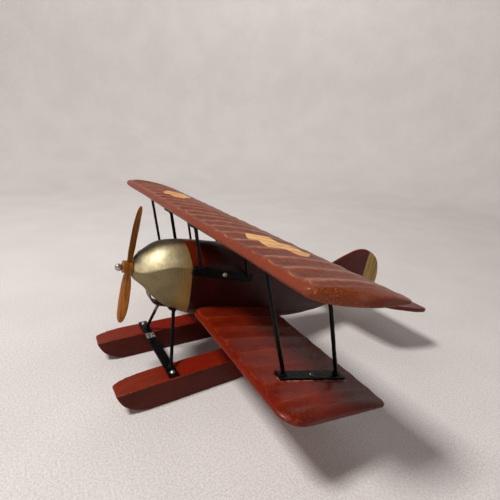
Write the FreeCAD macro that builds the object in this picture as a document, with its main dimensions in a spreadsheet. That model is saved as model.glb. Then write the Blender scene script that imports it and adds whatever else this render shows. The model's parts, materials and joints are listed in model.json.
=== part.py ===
import FreeCAD, Part
import math
import os

# Carved-wood biplane on twin floats, a desk model. Millimetres, +Z up, nose towards -Y, port towards +X.
# The floats stand level on Z = 0. The airframe sits nose-up on them, so its parts are laid out in an
# airframe frame (origin at the propeller hub, y aft, z up) that is tilted and lifted into place.

os.makedirs("parts", exist_ok=True)
doc = FreeCAD.newDocument("biplane")
V = FreeCAD.Vector

# ---------------------------------------------------------------- driving dimensions
DIMENSIONS = {
    # airframe as a whole
    "airframe_pitch": 11.3,
    "hub_y": -151.82,
    "hub_height": 111.3,
    # upper wing
    "upper_span": 400.0,
    "upper_front": 33.0,
    "upper_chord": 68.8,
    "upper_level": 54.0,
    "upper_crown": 4.3,
    "upper_belly": 5.2,
    "upper_belly_slope": 4.6,
    "upper_rake": 40.0,
    "upper_rake_reach": 17.0,
    "upper_rear_corner": 6.0,
    "upper_tip_reach": 15.0,
    # lower wing panels
    "lower_span": 356.5,
    "lower_front": 56.0,
    "lower_chord": 92.7,
    "lower_level": -31.0,
    "lower_crown": 3.8,
    "lower_belly": 3.4,
    "lower_belly_slope": 1.7,
    "lower_droop": 4.6,
    "lower_root": 12.0,
    "lower_front_corner": 15.0,
    "lower_rear_corner": 6.5,
    "lower_tip_reach": 6.5,
    # carved rib flutes
    "rib_pitch": 18.8,
    "upper_flute": 2.2,
    "lower_flute": 0.7,
    "lower_scallop": 0.7,
    # inlays
    "inlay_x": 103.5,
    "inlay_y": 72.0,
    "inlay_length": 53.0,
    "inlay_width": 31.0,
    "inlay_turn": 24.0,
    "inlay_depth": 2.6,
    # strut frames
    "rod_diameter": 3.2,
    "plate_thickness": 2.0,
    "plate_width": 10.4,
    "interplane_x": 140.0,
    "interplane_y": 104.6,
    "interplane_length": 58.5,
    "interplane_toe": 7.0,
    "interplane_lean": 2.1,
    "interplane_foot_gap": 48.0,
    "interplane_foot_z": -31.25,
    "interplane_top_x": 137.0,
    "interplane_top_front": 41.8,
    "interplane_top_rear": 93.5,
    "interplane_twin_front": 52.0,
    "interplane_twin_rear": 95.5,
    "cabane_face": 29.6,
    "cabane_y": 78.6,
    "cabane_z": 7.6,
    "cabane_length": 63.5,
    "cabane_width": 8.4,
    "cabane_lean": 3.8,
    "cabane_thickness": 2.6,
    "cabane_foot_front": 55.0,
    "cabane_foot_rear": 103.6,
    "cabane_top_front": 40.4,
    "cabane_top_rear": 88.0,
    "cabane_head_length": 58.0,
    # screws
    "screw_head": 4.8,
    "screw_head_height": 1.7,
    "screw_shank": 2.2,
    "screw_slot_width": 0.8,
    "screw_slot_depth": 0.8,
    # nose
    "cowl_wall": 0.9,
    "cowl_trim_y": 48.8,
    "cowl_trim_tilt": 8.4,
    "nose_y": 3.4,
    "pin_ball": 6.6,
    "pin_ball_y": -8.3,
    "pin_ball_drop": 0.9,
    "pin_shank": 2.0,
    "pin_end": 24.0,
    "hub_bore": 2.1,
    "end_play": 0.05,
    # propeller
    "propeller_radius": 55.0,
    "hub_diameter": 11.0,
    "hub_front": -4.95,
    "hub_back": 2.55,
    # floats
    "float_x": 41.4,
    "float_width": 23.0,
    "float_height": 23.5,
    "float_bow": -25.7,
    "float_toe": 1.5,
    "float_stern": 165.0,
    "front_bar_y": 22.9,
    "rear_bar_y": 118.0,
    "bar_half_length": 51.5,
    "bar_width": 9.0,
    "bar_thickness": 2.2,
    "bar_screw_x": 46.5,
    "bar_foot_x": 39.0,
    # tail
    "fin_thickness": 5.0,
    "rudder_y": 305.3,
    "tailplane_half_span": 101.0,
    "tailplane_thickness": 4.4,
    "tail_rounding": 2.0,
    "tailplane_rounding": 1.5,
    "wing_dowel": 4.0,
    "fin_dowel": 2.4,
}

sheet = doc.addObject("Spreadsheet::Sheet", "Dims")
sheet.Label = "Dims"
for row, (alias, value) in enumerate(DIMENSIONS.items(), start=1):
    sheet.set("A%d" % row, alias)
    sheet.set("B%d" % row, str(value))
    sheet.setAlias("B%d" % row, alias)
doc.recompute()


def dim(alias):
    return float(getattr(sheet, alias))


AIRFRAME = FreeCAD.Placement(V(0, dim("hub_y"), dim("hub_height")),
                             FreeCAD.Rotation(V(1, 0, 0), -dim("airframe_pitch")))


def on_airframe(point):
    """The place of an airframe-frame point in the model's frame."""
    return AIRFRAME.multVec(V(*point))


nodes = []


def node(obj, name):
    """Names an object as one of the model's separate pieces."""
    obj.Label = name
    nodes.append(obj)
    return obj


# ---------------------------------------------------------------- small builders
def bind(obj, **expressions):
    for name, expression in expressions.items():
        obj.setExpression(name, expression)


def tilt_body(body):
    """Ties a body's placement to the tilted airframe."""
    body.Placement = AIRFRAME
    body.setExpression("Placement.Base.y", "Dims.hub_y")
    body.setExpression("Placement.Base.z", "Dims.hub_height")
    body.setExpression("Placement.Rotation.Angle", "-Dims.airframe_pitch * 1 deg")


def box(name, centre, size, rotation, thickness=None):
    """A block of the given size, centred in x and y on centre, its base at centre's z."""
    b = doc.addObject("Part::Box", name)
    b.Length, b.Width, b.Height = size
    if thickness:
        b.setExpression("Height", thickness)
    local = FreeCAD.Placement(V(*centre), rotation)
    shift = FreeCAD.Placement(V(-size[0] / 2, -size[1] / 2, 0), FreeCAD.Rotation())
    b.Placement = AIRFRAME.multiply(local).multiply(shift)
    return b


def level_box(name, centre, size, thickness=None):
    """A block like box(), laid level in the model's own frame."""
    b = doc.addObject("Part::Box", name)
    b.Length, b.Width, b.Height = size
    if thickness:
        b.setExpression("Height", thickness)
    b.Placement = FreeCAD.Placement(V(centre[0] - size[0] / 2, centre[1] - size[1] / 2, centre[2]),
                                    FreeCAD.Rotation())
    return b


def rod(name, start, end, radius="Dims.rod_diameter / 2"):
    """A round rod between two points of the model's frame."""
    c = doc.addObject("Part::Cylinder", name)
    c.setExpression("Radius", radius)
    c.Height = (end - start).Length
    c.Placement = FreeCAD.Placement(start, FreeCAD.Rotation(V(0, 0, 1), end - start))
    return c


def weld(name, foot, towards):
    """The blob of weld round a rod's foot."""
    rod_radius = dim("rod_diameter") / 2
    c = doc.addObject("Part::Cone", name)
    c.Radius1 = rod_radius + 1.1
    c.Radius2 = rod_radius + 0.1
    c.Height = 2.6
    c.Placement = FreeCAD.Placement(foot, FreeCAD.Rotation(V(0, 0, 1), towards - foot))
    return c


def fuse(name, shapes):
    f = doc.addObject("Part::MultiFuse", name)
    f.Shapes = shapes
    f.Refine = True
    return f


def cut(name, base, tool):
    c = doc.addObject("Part::Cut", name)
    c.Base = base
    c.Tool = tool
    return c


def cut_all(name, base, tools):
    """The base less each tool in turn."""
    for number, tool in enumerate(tools, start=1):
        base = cut("%s_less_%d" % (name, number), base, tool)
    return base


def mirror(name, source):
    """The starboard twin of a port piece."""
    m = doc.addObject("Part::Mirroring", name)
    m.Source = source
    m.Base = V(0, 0, 0)
    m.Normal = V(1, 0, 0)
    return m


def compound(name, links):
    c = doc.addObject("Part::Compound", name)
    c.Links = links
    return c


def screw(name, seat, direction, length, turn=0.0):
    """A round-head slotted wood screw: its head stands on seat, its shank runs against direction."""
    radius = dim("screw_head") / 2
    height = dim("screw_head_height")
    dome = (radius ** 2 + height ** 2) / (2 * height)
    rotation = FreeCAD.Rotation(V(0, 0, 1), direction)
    head = doc.addObject("Part::Sphere", name + "_head")
    head.Radius = dome
    head.Angle1 = math.degrees(math.asin((dome - height) / dome))
    head.Placement = FreeCAD.Placement(seat - direction * (dome - height), rotation)
    shank = doc.addObject("Part::Cylinder", name + "_shank")
    shank.setExpression("Radius", "Dims.screw_shank / 2")
    shank.Height = length
    shank.Placement = FreeCAD.Placement(seat - direction * length, rotation)
    blank = fuse(name + "_blank", [head, shank])
    slot = doc.addObject("Part::Box", name + "_slot")
    slot.Length, slot.Width, slot.Height = 3 * radius, dim("screw_slot_width"), height
    turned = rotation.multiply(FreeCAD.Rotation(V(0, 0, 1), turn))
    start = V(-slot.Length.Value / 2, -slot.Width.Value / 2, height - dim("screw_slot_depth"))
    corner = seat + turned.multVec(start)
    slot.Placement = FreeCAD.Placement(corner, turned)
    return cut(name, blank, slot)


def plane_of(body, role):
    return [f for f in body.Origin.OriginFeatures if f.Role == role][0]


def new_sketch(body, name, role, offset=0.0, expression=None):
    """A sketch on one of the body's own origin planes, moved along its normal."""
    s = body.newObject("Sketcher::SketchObject", name)
    s.AttachmentSupport = (plane_of(body, role), [""])
    s.MapMode = "FlatFace"
    s.AttachmentOffset = FreeCAD.Placement(V(0, 0, offset), FreeCAD.Rotation())
    if expression:
        s.setExpression(".AttachmentOffset.Base.z", expression)
    return s


def outline(sketch, pieces):
    """Closes an outline from pieces: two points make a line, more make a smooth curve."""
    for points in pieces:
        vectors = [V(a, b, 0) for a, b in points]
        if len(vectors) == 2:
            sketch.addGeometry(Part.LineSegment(*vectors), False)
        else:
            curve = Part.BSplineCurve()
            curve.interpolate(vectors)
            sketch.addGeometry(curve, False)


def pad(body, sketch, length, both_ways=False):
    p = body.newObject("PartDesign::Pad", sketch.Name + "_pad")
    p.Profile = sketch
    p.setExpression("Length", length)
    p.Midplane = both_ways
    return p


def new_body(name):
    return doc.addObject("PartDesign::Body", name)


# ---------------------------------------------------------------- carved wings
CHORD_STEPS = [1.0, 0.93, 0.86, 0.78, 0.70, 0.62, 0.54, 0.46, 0.38, 0.30,
               0.24, 0.19, 0.15, 0.12, 0.09, 0.06, 0.035, 0.015, 0.004]
NOSE_REACH = 0.12


def nose_swell(f):
    """How much of its full thickness a section has at chord fraction f, round the leading edge."""
    if f >= NOSE_REACH:
        return 1.0
    return math.sqrt(max(0.0, 1 - (1 - f / NOSE_REACH) ** 2))


def smooth_step(v):
    v = min(1.0, max(0.0, v))
    return v * v * (3 - 2 * v)


def across_bay(x):
    """Where x lies between two ribs, from -1 to 1."""
    return (x / dim("rib_pitch") + 0.5) % 1.0 * 2 - 1


def flute(x, f, x_first, x_last):
    """Depth share of the hollow between two ribs: deep just behind the leading edge, then fading aft."""
    if x < x_first or x > x_last:
        return 0.0
    across = across_bay(x)
    hollow = 1 - abs(across) ** 1.8
    run_in = smooth_step((f - 0.02) / 0.10 - 0.35 * across * across)
    run_out = 1 - 0.8 * smooth_step((f - 0.55) / 0.45)
    return hollow * run_in * run_out


def wing_section(x, front, rear, level, thick, tops, bottoms, flute_depth, first, last):
    """Points round one wing section, from the trailing edge over the top and back underneath."""
    chord = rear - front
    points = []
    for f in CHORD_STEPS:
        height = nose_swell(f) * tops(f) * thick - flute_depth * flute(abs(x), f, first, last) * thick
        points.append(V(x, front + f * chord, level + height))
    points.append(V(x, front, level))
    for f in reversed(CHORD_STEPS):
        points.append(V(x, front + f * chord, level - nose_swell(f) * bottoms(f) * thick))
    return points


def wing_solid(sections):
    """A solid wing skinned through its sections, with a narrow trailing-edge face and flat tip ends."""
    skin = Part.BSplineSurface()
    skin.interpolate(sections)
    skin_face = skin.toShape()
    bounds = skin.bounds()
    top_rear = skin.vIso(bounds[2]).toShape()
    bottom_rear = skin.vIso(bounds[3]).toShape()
    rear_face = Part.makeRuledSurface(top_rear, bottom_rear)
    faces = [skin_face, rear_face]
    for u in (bounds[0], bounds[1]):
        rim = skin.uIso(u).toShape()
        closing = Part.makeLine(rim.Vertexes[-1].Point, rim.Vertexes[0].Point)
        faces.append(Part.Face(Part.Wire([rim, closing])))
    shell = Part.makeShell(faces)
    shell.sewShape()
    solid = Part.makeSolid(Part.Shell(shell.Faces))
    if solid.Volume < 0:
        solid.reverse()
    return solid


def edge_round(distance, radius):
    """How far a rounded corner pulls an edge in, at a distance from the tip."""
    if distance >= radius:
        return 0.0
    return radius - math.sqrt(max(0.0, radius ** 2 - (radius - distance) ** 2))


TIP_DISTANCES = [0.0, 0.35, 1.0, 2.0, 3.4, 5.2, 7.6, 10.5, 14.5, 20.0]
STATION_STEP = dim("rib_pitch") / 8


def tip_rake(distance, reach, depth):
    """How far a raked tip pulls the leading edge back, most of all at the very tip."""
    return depth * max(0.0, 1 - distance / reach) ** 2


def tip_thickness(distance, reach):
    """Share of the full thickness left at a distance from the tip, rounded over the reach."""
    least = 0.32
    if distance >= reach:
        return 1.0
    return least + (1 - least) * math.sqrt(max(0.0, 1 - (1 - distance / reach) ** 2))


UPPER_RISE = 6.44
UPPER_FALL = 9.24
LOWER_RISE = 5.61
LOWER_FALL = 8.71


def upper_tops(f):
    return dim("upper_crown") + UPPER_RISE * f - UPPER_FALL * f * f


def upper_bottoms(f):
    return dim("upper_belly") - dim("upper_belly_slope") * f


def upper_underside(y):
    """Height of the upper wing's underside, in the airframe frame."""
    along = (y - dim("upper_front")) / dim("upper_chord")
    return dim("upper_level") - upper_bottoms(along)


UNDERSIDE_TURN = FreeCAD.Rotation(
    V(1, 0, 0), math.degrees(math.atan(dim("upper_belly_slope") / dim("upper_chord"))))
HEAD_PROUD = 0.25


def head_level(y):
    """Height of a head plate's lower face, which stands a little proud of the wing it is let into."""
    return upper_underside(y) - HEAD_PROUD


def upper_section(x):
    distance = dim("upper_span") / 2 - abs(x)
    notch = 1.5 * smooth_step(1 - abs(x) / 8.0)
    front = dim("upper_front") + tip_rake(distance, dim("upper_rake_reach"), dim("upper_rake"))
    rear = dim("upper_front") + dim("upper_chord") - notch - edge_round(distance, dim("upper_rear_corner"))
    return wing_section(x, front, rear, dim("upper_level"), tip_thickness(distance, dim("upper_tip_reach")),
                        upper_tops, upper_bottoms, dim("upper_flute"), 0.0, dim("rib_pitch") * 10)


def lower_tops(f):
    return dim("lower_crown") + LOWER_RISE * f - LOWER_FALL * f * f


def lower_bottoms(f):
    return dim("lower_belly") - dim("lower_belly_slope") * f


def lower_section(x):
    half = dim("lower_span") / 2
    distance = half - x
    inboard = max(0.0, (36.0 - x) / 18.0)
    scallop = dim("lower_scallop") * (1 - across_bay(x) ** 2)
    front = dim("lower_front") + edge_round(distance, dim("lower_front_corner")) + 12.0 * inboard ** 2
    rear = dim("lower_front") + dim("lower_chord") - edge_round(distance, dim("lower_rear_corner"))
    rear = rear - 8.0 * inboard ** 2
    rear = rear - scallop
    level = dim("lower_level") - dim("lower_droop") * (x - 20.0) / (half - 20.0)
    return wing_section(x, front, rear, level, tip_thickness(distance, dim("lower_tip_reach")),
                        lower_tops, lower_bottoms, dim("lower_flute"), 28.0, dim("rib_pitch") * 9)


def stations(start, half):
    """Evenly spaced stations from start to the tip's rounding, then closer ones to the tip."""
    inner = half - TIP_DISTANCES[-1]
    count = int(round((inner - start) / STATION_STEP))
    xs = [start + (inner - start) * k / count for k in range(count + 1)]
    return xs + [half - d for d in reversed(TIP_DISTANCES[:-1])]


def wing_form(name, sections):
    form = doc.addObject("Part::Feature", name)
    form.Shape = wing_solid(sections)
    form.Placement = AIRFRAME
    return form


half_stations = stations(0.0, dim("upper_span") / 2)
upper_stations = [-x for x in reversed(half_stations[1:])] + half_stations
upper_form = wing_form("upper_wing_form", [upper_section(x) for x in upper_stations])
lower_form = wing_form("lower_wing_form",
                       [lower_section(x) for x in stations(dim("lower_root"), dim("lower_span") / 2)])

# ---------------------------------------------------------------- fuselage form
# Each station: distance aft of the hub, half width, height of the shoulder line, top and bottom.
FUSELAGE_STATIONS = [
    (3.4, 8.5, -1.5, 8.2, -8.5),
    (5.2, 11.8, -1.0, 11.4, -10.2),
    (8.0, 14.8, 0.5, 14.4, -12.0),
    (13.0, 18.8, 3.6, 18.6, -15.8),
    (20.0, 23.2, 6.8, 23.4, -22.0),
    (29.0, 26.6, 9.2, 26.8, -29.0),
    (40.0, 28.4, 10.8, 28.6, -34.4),
    (54.0, 29.5, 11.2, 29.5, -39.0),
    (72.0, 30.0, 9.6, 29.9, -43.2),
    (95.0, 30.0, 7.8, 29.6, -45.8),
    (125.0, 29.2, 5.6, 27.8, -47.6),
    (160.0, 26.2, 3.6, 24.0, -47.8),
    (200.0, 21.2, 2.0, 19.0, -45.2),
    (240.0, 15.2, 0.8, 13.8, -37.6),
    (275.0, 9.6, -0.4, 9.6, -26.4),
    (305.3, 5.0, -1.6, 6.0, -14.0),
]
# The lower half of a section, as shares of its half width and of its depth below the shoulder line.
BELLY_SHARES = [(1.0, 0.0), (0.955, 0.3), (0.88, 0.6), (0.76, 0.82), (0.58, 0.94), (0.3, 0.99), (0.0, 1.0)]


def crown_arc(half_width, shoulder, crown, sink, steps=8):
    """The upper half of a section: an arc that meets the shoulder line at an angle, sharper with sink."""
    rise = crown - shoulder
    centre = shoulder - sink * rise
    tall = crown - centre
    share = (shoulder - centre) / tall
    wide = half_width / math.sqrt(1 - share ** 2)
    start = math.asin(share)
    points = []
    for k in range(steps + 1):
        angle = start + (math.pi - 2 * start) * k / steps
        points.append((wide * math.cos(angle), centre + tall * math.sin(angle)))
    return points


def belly_curve(half_width, shoulder, bottom):
    """The lower half of a section, from starboard to port: slab sides turning into a flat belly."""
    port = [(half_width * across, shoulder - (shoulder - bottom) * down) for across, down in BELLY_SHARES]
    return [(-x, z) for x, z in port[:-1]] + list(reversed(port))


def fuselage_body(name, skin, inset, nose_inset):
    """A body lofted through the stations, drawn in by inset all round."""
    body = new_body(name)
    sketches = []
    for number, (y, half_width, shoulder, top, bottom) in enumerate(skin, start=1):
        y = y + (nose_inset if number == 1 else 0.0)
        sketch = new_sketch(body, "%s_station_%d" % (name, number), "XZ_Plane", -y)
        sink = 1.2 - 0.7 * smooth_step((y - 60.0) / 100.0)
        over = crown_arc(half_width - inset, shoulder, top - inset, sink)
        under = belly_curve(half_width - inset, shoulder, bottom + inset)
        outline(sketch, [over, under])
        sketches.append(sketch)
    loft = body.newObject("PartDesign::AdditiveLoft", name + "_loft")
    loft.Profile = sketches[0]
    loft.Sections = sketches[1:]
    loft.Ruled = False
    tilt_body(body)
    return body


fuselage_form = fuselage_body("fuselage_form", FUSELAGE_STATIONS, 0.0, 0.0)
nose_plug = fuselage_body("nose_plug", FUSELAGE_STATIONS[:9], dim("cowl_wall"), dim("cowl_wall"))

# ---------------------------------------------------------------- strut frames and their screws
LEVEL = FreeCAD.Rotation()
HEAD_DOWN = AIRFRAME.Rotation.multVec(UNDERSIDE_TURN.multVec(V(0, 0, -1)))


def interplane_parts(label_end, top_front, top_rear):
    """An interplane frame on the port side: a foot plate, a head plate let into the wing, two rods."""
    length = dim("interplane_length")
    lean = FreeCAD.Rotation(V(1, 0, 0), -dim("interplane_lean"))
    toe = FreeCAD.Rotation(V(0, 0, 1), -dim("interplane_toe"))
    foot_turn = toe.multiply(lean)
    foot_centre = V(dim("interplane_x"), dim("interplane_y"), dim("interplane_foot_z"))
    foot = box("interplane_foot" + label_end, foot_centre, (dim("plate_width"), length, 2.0), foot_turn,
               "Dims.plate_thickness")
    head_middle = (dim("interplane_top_front") + dim("interplane_top_rear")) / 2
    thickness = dim("plate_thickness")
    head_centre = V(dim("interplane_top_x"), head_middle, head_level(head_middle))
    head_size = (dim("plate_width"), length, thickness)
    head = box("interplane_head" + label_end, head_centre, head_size, UNDERSIDE_TURN, "Dims.plate_thickness")
    parts = [foot, head]
    reach = dim("interplane_foot_gap") / 2
    for label, side, top_y in (("front" + label_end, -1, top_front), ("rear" + label_end, 1, top_rear)):
        low = AIRFRAME.multVec(foot_centre + foot_turn.multVec(V(0, side * reach, thickness / 2)))
        top_z = head_level(top_y) + thickness / 2
        high = on_airframe((dim("interplane_top_x"), top_y, top_z))
        along = (high - low).normalize()
        parts.append(rod("interplane_rod_" + label, low, high))
        parts.append(weld("interplane_weld_low_" + label, low + along * 0.8, high))
        parts.append(weld("interplane_weld_high_" + label, high - along * 0.8, low))
    foot_seat = AIRFRAME.multVec(foot_centre + foot_turn.multVec(V(0, 0, thickness)))
    foot_up = AIRFRAME.Rotation.multVec(foot_turn.multVec(V(0, 0, 1)))
    head_seat = AIRFRAME.multVec(head_centre)
    return parts, (foot_seat, foot_up), (head_seat, HEAD_DOWN)


def cabane_parts():
    """The port cabane frame: a plate on the fuselage shoulder, a head plate and two raked rods."""
    lean = FreeCAD.Rotation(V(1, 0, 0), -dim("cabane_lean"))
    upright = FreeCAD.Rotation(V(0, 1, 0), 90)
    turn = lean.multiply(upright)
    centre = V(dim("cabane_face"), dim("cabane_y"), dim("cabane_z"))
    side = box("cabane_side", centre, (dim("cabane_width"), dim("cabane_length"), 2.6), turn,
               "Dims.cabane_thickness")
    head_middle = (dim("cabane_top_front") + dim("cabane_top_rear")) / 2
    thickness = dim("plate_thickness")
    rod_x = dim("cabane_face") + dim("cabane_thickness") / 2
    head_centre = V(rod_x, head_middle, head_level(head_middle))
    head = box("cabane_head", head_centre, (dim("plate_width"), dim("cabane_head_length"), thickness),
               UNDERSIDE_TURN, "Dims.plate_thickness")
    parts = [side, head]
    for label, foot_y, top_y in (("front", dim("cabane_foot_front"), dim("cabane_top_front")),
                                 ("rear", dim("cabane_foot_rear"), dim("cabane_top_rear"))):
        foot_z = dim("cabane_z") - (foot_y - dim("cabane_y")) * math.tan(math.radians(dim("cabane_lean")))
        low = on_airframe((rod_x, foot_y, foot_z))
        high = on_airframe((rod_x, top_y, head_level(top_y) + thickness / 2))
        along = (high - low).normalize()
        lip = low + along * (dim("cabane_width") / 2 - 0.6)
        parts.append(rod("cabane_rod_" + label, low, high))
        parts.append(weld("cabane_weld_low_" + label, lip, high))
        parts.append(weld("cabane_weld_high_" + label, high - along * 0.8, low))
    outer_face = dim("cabane_face") + dim("cabane_thickness")
    side_seat = on_airframe((outer_face, dim("cabane_y"), dim("cabane_z")))
    side_out = AIRFRAME.Rotation.multVec(V(1, 0, 0))
    head_seat = AIRFRAME.multVec(head_centre)
    return parts, (side_seat, side_out), (head_seat, HEAD_DOWN)


frame_parts, (foot_seat, foot_up), (head_seat, head_down) = interplane_parts(
    "", dim("interplane_top_front"), dim("interplane_top_rear"))
interplane_blank = fuse("interplane_blank", frame_parts)
interplane_low_screw = screw("interplane_low_screw", foot_seat, foot_up, 7.0, 35.0)
interplane_high_screw = screw("interplane_high_screw", head_seat, head_down, 5.0, 70.0)
interplane_screws = [interplane_low_screw, interplane_high_screw]
interplane_port = node(cut_all("interplane_port", interplane_blank, interplane_screws),
                       "interplane_frame_port")
# The starboard frame was bent by hand too, and its rods meet the upper wing a little further aft.
twin_parts = interplane_parts("_twin", dim("interplane_twin_front"), dim("interplane_twin_rear"))[0]
interplane_twin = cut_all("interplane_twin", fuse("interplane_twin_blank", twin_parts), interplane_screws)
interplane_starboard = node(mirror("interplane_starboard", interplane_twin),
                            "interplane_frame_starboard")

frame_parts, (side_seat, side_out), (cabane_head_seat, cabane_down) = cabane_parts()
cabane_blank = fuse("cabane_blank", frame_parts)
cabane_side_screw = screw("cabane_side_screw", side_seat, side_out, 12.0, 25.0)
cabane_high_screw = screw("cabane_high_screw", cabane_head_seat, cabane_down, 5.0, 110.0)
cabane_port = node(cut_all("cabane_port", cabane_blank, [cabane_side_screw, cabane_high_screw]),
                   "cabane_frame_port")
cabane_starboard = node(mirror("cabane_starboard", cabane_port), "cabane_frame_starboard")


def screw_pair(name, port_screw):
    """A port screw and its starboard twin, kept as one group."""
    twin = mirror(name + "_twin", port_screw)
    node(compound(name, [port_screw, twin]), name)
    return twin


interplane_low_twin = screw_pair("interplane_foot_screws", interplane_low_screw)
interplane_high_twin = screw_pair("interplane_head_screws", interplane_high_screw)
cabane_side_twin = screw_pair("cabane_side_screws", cabane_side_screw)
cabane_high_twin = screw_pair("cabane_head_screws", cabane_high_screw)

# ---------------------------------------------------------------- float frames
BAR_TOP = dim("float_height") + dim("bar_thickness")


def float_frame(name, bar_y, plate_place, plate_half, top_x, screw_drop):
    """A spreader bar across both floats, with two rods up to a short plate let into the belly."""
    plate_y, plate_z = plate_place
    y = dim("hub_y") + bar_y
    bar = level_box(name + "_bar", (0, y, dim("float_height")),
                    (2 * dim("bar_half_length"), dim("bar_width"), 2.2), "Dims.bar_thickness")
    plate = box(name + "_plate", (0, plate_y, plate_z), (2 * plate_half, 9.0, 2.2), LEVEL,
                "Dims.bar_thickness")
    parts = [bar, plate]
    for label, side in (("port", 1), ("starboard", -1)):
        low = V(side * dim("bar_foot_x"), y + 1.2, dim("float_height") + dim("bar_thickness") / 2)
        high = on_airframe((side * top_x, plate_y, plate_z + dim("bar_thickness") / 2))
        along = (high - low).normalize()
        parts.append(rod(name + "_rod_" + label, low, high))
        parts.append(weld(name + "_weld_" + label, low + along * 0.8, high))
        parts.append(weld(name + "_top_weld_" + label, high - along * 0.6, low))
    welded = fuse(name + "_welded", parts)
    deck_level = level_box(name + "_deck_level", (0, y, dim("float_height") - 10),
                           (3 * dim("bar_half_length"), 4 * dim("bar_width"), 10.0))
    blank = cut(name + "_blank", welded, deck_level)
    deck_screws = []
    for side in (1, -1):
        seat = V(side * dim("bar_screw_x"), y, BAR_TOP)
        deck_screws.append(screw("%s_deck_screw_%s" % (name, "port" if side > 0 else "starboard"),
                                 seat, V(0, 0, 1), 9.0, 20.0 * side))
    down = AIRFRAME.Rotation.multVec(V(0, 0, -1))
    belly_seat = on_airframe((0, plate_y, plate_z - screw_drop))
    belly_screw = screw(name + "_belly_screw", belly_seat, down, 10.0, 80.0)
    frame = cut_all(name + "_drilled", blank, deck_screws + [belly_screw])
    return frame, deck_screws, belly_screw


FRONT_PLATE = (42.3, -34.0)
REAR_PLATE = (126.0, -48.6)
# The front screw also holds the chin scoop, whose strap lies between its head and the plate.
front_frame, front_deck_screws, front_belly_screw = float_frame(
    "front_float", dim("front_bar_y"), FRONT_PLATE, 17.5, 15.5, 1.55)
rear_frame, rear_deck_screws, rear_belly_screw = float_frame(
    "rear_float", dim("rear_bar_y"), REAR_PLATE, 17.0, 14.0, 0.0)
node(front_frame, "front_float_frame")
node(rear_frame, "rear_float_frame")
node(compound("float_deck_screws", front_deck_screws + rear_deck_screws), "float_deck_screws")
node(compound("belly_screws", [front_belly_screw, rear_belly_screw]), "belly_screws")

# ---------------------------------------------------------------- propeller, pin and washer
def propeller_body():
    """A two-blade carved propeller: round hub, twisted blades lofted outwards, one bore."""
    body = new_body("propeller_body")
    hub_sketch = new_sketch(body, "hub_sketch", "XZ_Plane", 0.0, "-Dims.hub_back")
    hub_sketch.addGeometry(Part.Circle(V(0, 0, 0), V(0, 0, 1), dim("hub_diameter") / 2), False)
    pad(body, hub_sketch, "Dims.hub_back - Dims.hub_front")
    # height above the hub, chord, thickness, pitch angle, sweep of the section's centre across and aft
    blade = [
        (0.5, 6.4, 4.6, 30.0, 0.0, 0.0),
        (7.0, 7.2, 4.4, 38.0, 0.0, 0.2),
        (13.0, 9.0, 4.2, 45.0, 0.0, 0.4),
        (22.0, 10.2, 4.0, 46.0, 0.0, 0.6),
        (31.0, 10.6, 3.8, 46.0, 0.3, 0.8),
        (40.0, 10.2, 3.5, 46.0, 0.9, 1.0),
        (47.0, 8.8, 3.2, 46.0, 1.9, 1.1),
        (52.0, 6.4, 2.7, 45.0, 2.9, 1.2),
        (dim("propeller_radius"), 3.0, 1.6, 45.0, 3.6, 1.2),
    ]
    sketches = []
    for number, (z, chord, thickness, angle, across, aft) in enumerate(blade, start=1):
        sketch = new_sketch(body, "blade_section_%d" % number, "XY_Plane", z)
        turn = math.radians(-angle)
        face = []
        for share in (-1.0, -0.6, 0.0, 0.6, 1.0):
            along = share * chord / 2
            out = (1 - share ** 2) * thickness / 2
            face.append((along, out))
        back = [(along, -out) for along, out in reversed(face)]
        outline(sketch, [[(across + along * math.cos(turn) - out * math.sin(turn),
                           aft + along * math.sin(turn) + out * math.cos(turn)) for along, out in side]
                         for side in (face, back)])
        sketches.append(sketch)
    loft = body.newObject("PartDesign::AdditiveLoft", "blade_loft")
    loft.Profile = sketches[0]
    loft.Sections = sketches[1:]
    pattern = body.newObject("PartDesign::PolarPattern", "blade_pair")
    pattern.Originals = [loft]
    pattern.Axis = ([f for f in body.Origin.OriginFeatures if f.Role == "Y_Axis"][0], [""])
    pattern.Angle = 360
    pattern.Occurrences = 2
    body.Tip = pattern
    tilt_body(body)
    return body


propeller_blank = propeller_body()
FORE_AFT = AIRFRAME.Rotation.multVec(V(0, 1, 0))
bore = rod("propeller_bore", on_airframe((0, -10, 0)), on_airframe((0, 10, 0)), "Dims.hub_bore / 2")
node(cut("propeller_cut", propeller_blank, bore), "propeller")

pin_shank = rod("pin_shank_rod", on_airframe((0, dim("pin_ball_y"), 0)),
                on_airframe((0, dim("pin_end"), 0)), "Dims.pin_shank / 2")
pin_ball = doc.addObject("Part::Sphere", "pin_ball_sphere")
pin_ball.setExpression("Radius", "Dims.pin_ball / 2")
pin_ball.Placement = FreeCAD.Placement(on_airframe((0, dim("pin_ball_y"), -dim("pin_ball_drop"))),
                                       FreeCAD.Rotation())
pin = node(fuse("propeller_pin", [pin_shank, pin_ball]), "propeller_pin")

washer_disc = rod("washer_disc", on_airframe((0, dim("hub_back") + dim("end_play"), 0)),
                  on_airframe((0, dim("nose_y"), 0)), "3.4")
washer = node(cut("washer", washer_disc, pin), "propeller_washer")

# ---------------------------------------------------------------- chin scoop
def chin_scoop():
    """A bent strap of sheet metal under the nose, open at both sides."""
    body = new_body("chin_scoop_body")
    sketch = new_sketch(body, "scoop_profile", "YZ_Plane", 0.0)
    outer = [(20.2, -21.0), (21.8, -26.6), (24.4, -30.8), (28.4, -33.6), (33.5, -34.9), (40.0, -35.4),
             (47.5, -35.9)]
    inner = [(21.5, -21.0), (23.0, -26.0), (25.4, -29.9), (28.8, -32.4), (33.7, -33.7), (40.1, -34.2),
             (47.5, -34.7)]
    outline(sketch, [outer, [outer[-1], inner[-1]], list(reversed(inner)), [inner[0], outer[0]]])
    pad(body, sketch, "13 mm", True)
    tilt_body(body)
    return body


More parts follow.
